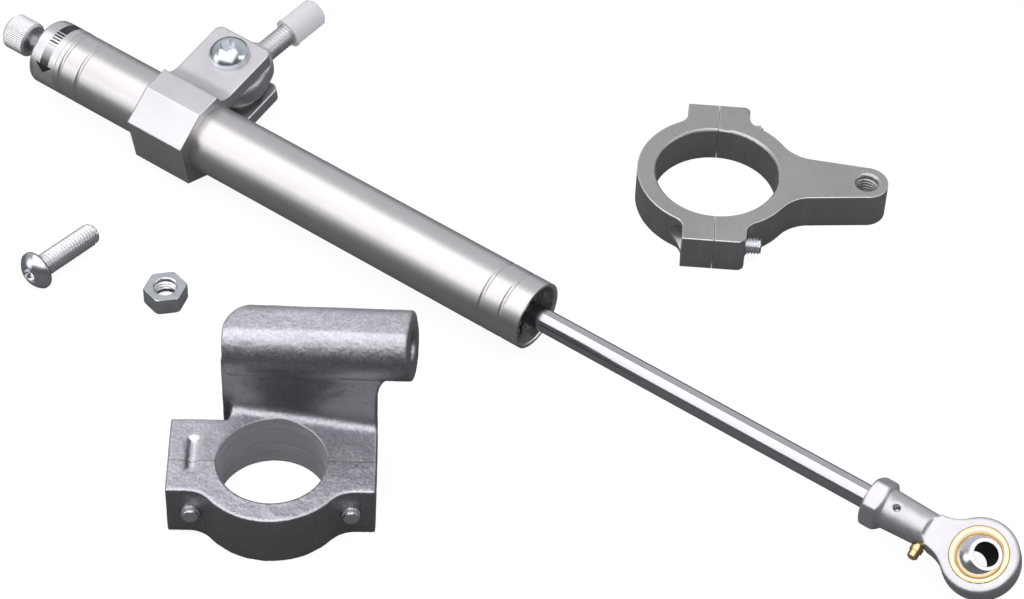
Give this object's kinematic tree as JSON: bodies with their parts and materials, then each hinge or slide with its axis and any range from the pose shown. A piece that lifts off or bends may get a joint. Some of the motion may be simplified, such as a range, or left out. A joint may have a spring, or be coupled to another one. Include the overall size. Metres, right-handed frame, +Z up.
{
  "type": "motorcycle steering damper",
  "caption": "Tubular hydraulic steering damper with a knurled adjuster, a clevis clamp with a studded ball joint, a spherical rod end and its two mounting brackets with loose fasteners.",
  "frame": {"origin": "centre of the ball in the rod end, on the damper's axis, in the rest pose", "axes": "+X along the damper's axis from the tube out through the rod end, +Z up from the surface that the set lies on"},
  "size_m": [0.416, 0.2678, 0.0625],
  "materials": {
    "tube_anodised": "satin silver anodised",
    "clamp_blasted": "bead blasted and anodised silver",
    "machined_grey": "fine machined, grey anodised",
    "cast_grey": "rough sand cast",
    "inner_aluminium": "turned",
    "knob_bright": "bright turned",
    "rod_chrome": "hard chrome, polished",
    "ball_polished": "polished steel",
    "zinc_bright": "bright zinc plate",
    "zinc_forged": "zinc plated forging",
    "steel_dark": "dark turned steel",
    "brass": "turned brass",
    "rubber": "matt black",
    "band_plastic": "filled plastic",
    "cap_plastic": "milky translucent",
    "label_film": "printed silver film"
  },
  "bodies": {
    "tube": {"outer_tube": "tube_anodised", "end_plug": "inner_aluminium", "plug_o_ring": "rubber", "plug_gland": "steel_dark", "stem_o_ring": "rubber", "inner_cylinder": "inner_aluminium", "rod_guide": "inner_aluminium", "guide_o_ring": "rubber", "rod_bush": "brass", "rod_seal": "rubber", "rod_wiper": "rubber", "retaining_ring": "steel_dark", "bump_stop": "rubber", "label_band": "label_film"},
    "knob": {"adjuster_knob": "knob_bright", "adjuster_stem": "steel_dark", "knob_set_screw": "steel_dark"},
    "needle": {"metering_needle": "steel_dark"},
    "piston": {"piston": "inner_aluminium", "piston_ring": "band_plastic", "shim_disc": "steel_dark"},
    "rod": {"piston_rod": "rod_chrome", "piston_nut": "steel_dark", "rod_end_body": "zinc_forged", "grease_nipple": "brass"},
    "end_race": {"rod_end_race": "brass"},
    "end_ball": {"rod_end_ball": "ball_polished"},
    "clamp": {"clamp_block": "clamp_blasted", "clamp_bolt": "zinc_bright", "bolt_washer": "zinc_bright", "ball_spacers": "zinc_bright"},
    "joint_ball": {"joint_ball": "ball_polished"},
    "stud": {"stud_body": "zinc_forged", "joint_race": "steel_dark"},
    "cap": {"stud_cap": "cap_plastic"},
    "arm_bracket": {"arm_bracket_arm": "machined_grey", "arm_bracket_cap": "machined_grey", "arm_bracket_screws": "zinc_bright"},
    "cast_bracket": {"cast_bracket_body": "cast_grey", "cast_bracket_cap": "cast_grey", "cast_bracket_screws": "zinc_bright"},
    "loose_screw": {"loose_screw": "zinc_bright"},
    "loose_nut": {"loose_nut": "zinc_bright"}
  },
  "joints": [
    {"name": "rod_slide", "type": "slide", "parent": "tube", "child": "piston", "axis": [1, 0, 0], "range_m": [-0.12, 0]},
    {"name": "rod_turn", "type": "hinge", "parent": "piston", "child": "rod", "pos_m": [0, 0, 0], "axis": [1, 0, 0], "continuous": true},
    {"name": "race_turn", "type": "hinge", "parent": "rod", "child": "end_race", "pos_m": [0, 0, 0], "axis": [0, -0.4226, 0.9063], "continuous": true},
    {"name": "ball_tilt", "type": "hinge", "parent": "end_race", "child": "end_ball", "pos_m": [0, 0, 0], "axis": [-0.3746, 0.8403, 0.3918], "range_deg": [-37, 0]},
    {"name": "knob_turn", "type": "hinge", "parent": "tube", "child": "knob", "pos_m": [-0.3853, 0, 0], "axis": [1, 0, 0], "range_deg": [-270, 270]},
    {"name": "needle_slide", "type": "slide", "parent": "tube", "child": "needle", "axis": [1, 0, 0], "range_m": [-0.00095, 0.00095]},
    {"name": "clamp_slide", "type": "slide", "parent": "tube", "child": "clamp", "axis": [1, 0, 0], "range_m": [-0.025, 0.1]},
    {"name": "joint_swing", "type": "hinge", "parent": "clamp", "child": "joint_ball", "pos_m": [-0.3223, 0.02685, 0.00321], "axis": [0, -0.1736, 0.9848], "range_deg": [-75, 90]},
    {"name": "stud_tilt", "type": "hinge", "parent": "joint_ball", "child": "stud", "pos_m": [-0.3223, 0.02685, 0.00321], "axis": [-0.9903, 0.1371, 0.0242], "range_deg": [-10, 10]},
    {"name": "cap_pull", "type": "slide", "parent": "stud", "child": "cap", "axis": [0.1392, 0.9752, 0.172], "range_m": [0, 0.018]},
    {"name": "arm_bracket_lift", "type": "slide", "parent": "tube", "child": "arm_bracket", "axis": [0, 0, 1], "range_m": [0, 0.1]},
    {"name": "cast_bracket_lift", "type": "slide", "parent": "tube", "child": "cast_bracket", "axis": [0, 0, 1], "range_m": [0, 0.1]},
    {"name": "loose_screw_lift", "type": "slide", "parent": "tube", "child": "loose_screw", "axis": [0, 0, 1], "range_m": [0, 0.1]},
    {"name": "loose_nut_lift", "type": "slide", "parent": "tube", "child": "loose_nut", "axis": [0, 0, 1], "range_m": [0, 0.1]}
  ],
  "couplings": [
    {"joint": "needle_slide", "follows": "knob_turn", "m_per_rad": 0.00012732}
  ]
}
